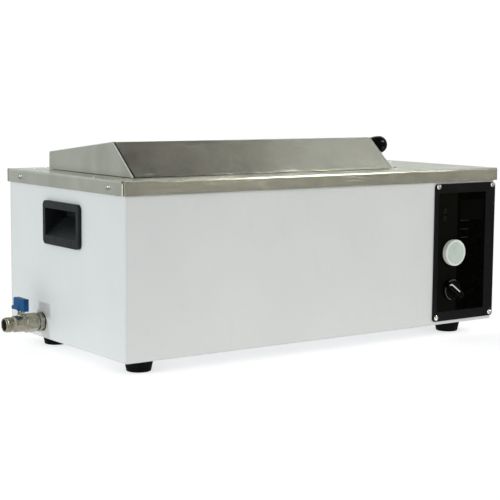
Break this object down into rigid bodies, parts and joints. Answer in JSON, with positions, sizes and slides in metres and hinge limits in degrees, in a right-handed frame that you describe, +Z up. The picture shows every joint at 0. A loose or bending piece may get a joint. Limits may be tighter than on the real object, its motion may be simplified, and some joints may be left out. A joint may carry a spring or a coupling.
{
  "type": "water bath",
  "caption": "Bench-top laboratory water bath with a hinged hood, recessed carry grips, a drain ball valve and a control panel.",
  "frame": {"origin": "on the bench under the middle of the whole assembly's footprint", "axes": "+X to the right along the front, +Y from the front to the rear, +Z up"},
  "size_m": [0.7076, 0.3422, 0.2974],
  "materials": {
    "case_paint": "satin white powder coat",
    "base_zinc": "plain zinc-coated sheet",
    "foot_rubber": "matt black rubber",
    "bright_screw": "bright zinc-plated steel",
    "dark_screw": "dull steel",
    "plate_steel": "brushed stainless, grain along the length",
    "lid_steel": "brushed stainless",
    "tank_steel": "bright-rolled stainless",
    "glass_wool": "glass wool blanket",
    "heater_sheath": "heat-darkened stainless sheath",
    "brass": "machined brass",
    "copper_tube": "drawn copper",
    "hinge_steel": "satin stainless",
    "black_phenolic": "polished black phenolic",
    "panel_black": "black moulded panel",
    "overlay_black": "gloss black film",
    "smoked_window": "smoked acrylic",
    "circuit": "solder-masked board",
    "lamp_amber": "dark amber lens, off",
    "dial_white": "pale grey-green moulded plastic",
    "shaft_steel": "turned steel",
    "switch_body": "moulded cream plastic",
    "grip_plastic": "charcoal moulded plastic",
    "valve_nickel": "nickel-plated brass",
    "seat_ptfe": "white PTFE",
    "lever_blue": "blue enamelled cast lever",
    "washer_rubber": "black rubber",
    "pipe_steel": "stainless tube",
    "inlet_black": "black moulded plastic",
    "fuse_glass": "glass cartridge fuse",
    "wire_sleeve": "silicone-sleeved leads"
  },
  "bodies": {
    "cabinet": {"case_wrap": "case_paint", "rear_panel": "case_paint", "rear_screws": "bright_screw", "base_plate": "base_zinc", "feet": "foot_rubber", "foot_screws": "bright_screw", "foot_nuts": "bright_screw", "top_plate": "plate_steel", "side_edge_screws": "bright_screw", "plate_screws": "dark_screw", "tank": "tank_steel", "tank_insulation": "glass_wool", "perforated_shelf": "tank_steel", "heater_element": "heater_sheath", "heater_glands": "brass", "probe_bulb": "tank_steel", "capillary_tube": "copper_tube", "probe_gland": "brass", "bulkhead": "base_zinc", "hinge_fixed_leaves": "hinge_steel", "hinge_pins": "hinge_steel", "hinge_plate_screws": "bright_screw", "control_panel": "panel_black", "panel_overlay": "overlay_black", "display_window": "smoked_window", "display_board": "circuit", "indicator_lamps": "lamp_amber", "panel_screws": "bright_screw", "thermostat_body": "switch_body", "selector_switch": "switch_body", "handle_left": "grip_plastic", "handle_right": "grip_plastic", "valve_body": "valve_nickel", "valve_seats": "seat_ptfe", "packing_nut": "valve_nickel", "drain_lock_nuts": "valve_nickel", "drain_pipe": "pipe_steel", "mains_inlet": "inlet_black", "terminal_block": "switch_body", "wiring": "wire_sleeve", "drain_washers": "washer_rubber"},
    "lid": {"lid_roof": "lid_steel", "lid_end_left": "lid_steel", "lid_end_right": "lid_steel", "lid_back_rail": "lid_steel", "lid_bumpers": "washer_rubber", "lid_knob": "black_phenolic", "lid_knob_screw": "bright_screw", "hinge_moving_leaves": "hinge_steel", "hinge_lid_screws": "bright_screw"},
    "thermostat_dial": {"thermostat_knob": "dial_white", "thermostat_shaft": "shaft_steel"},
    "selector": {"selector_knob": "black_phenolic", "selector_shaft": "shaft_steel"},
    "drain_lever": {"valve_ball": "valve_nickel", "valve_stem": "shaft_steel", "valve_lever": "lever_blue", "lever_screw": "bright_screw"},
    "fuse_holder": {"fuse_drawer": "inlet_black", "fuse": "fuse_glass"}
  },
  "joints": [
    {"name": "lid_hinge", "type": "hinge", "parent": "cabinet", "child": "lid", "pos_m": [-0.036, 0.1265, 0.25445], "axis": [-1, 0, 0], "range_deg": [0, 95]},
    {"name": "thermostat_turn", "type": "hinge", "parent": "cabinet", "child": "thermostat_dial", "pos_m": [0.2611, -0.16385, 0.128], "axis": [0, 1, 0], "range_deg": [0, 300]},
    {"name": "selector_turn", "type": "hinge", "parent": "cabinet", "child": "selector", "pos_m": [0.2611, -0.16385, 0.0725], "axis": [0, 1, 0], "range_deg": [0, 120]},
    {"name": "drain_lever_turn", "type": "hinge", "parent": "cabinet", "child": "drain_lever", "pos_m": [-0.3275, 0.07315, 0.06], "axis": [0, 0, 1], "range_deg": [0, 90]},
    {"name": "fuse_drawer_slide", "type": "slide", "parent": "cabinet", "child": "fuse_holder", "axis": [0, 1, 0], "range_m": [0, 0.012]}
  ]
}
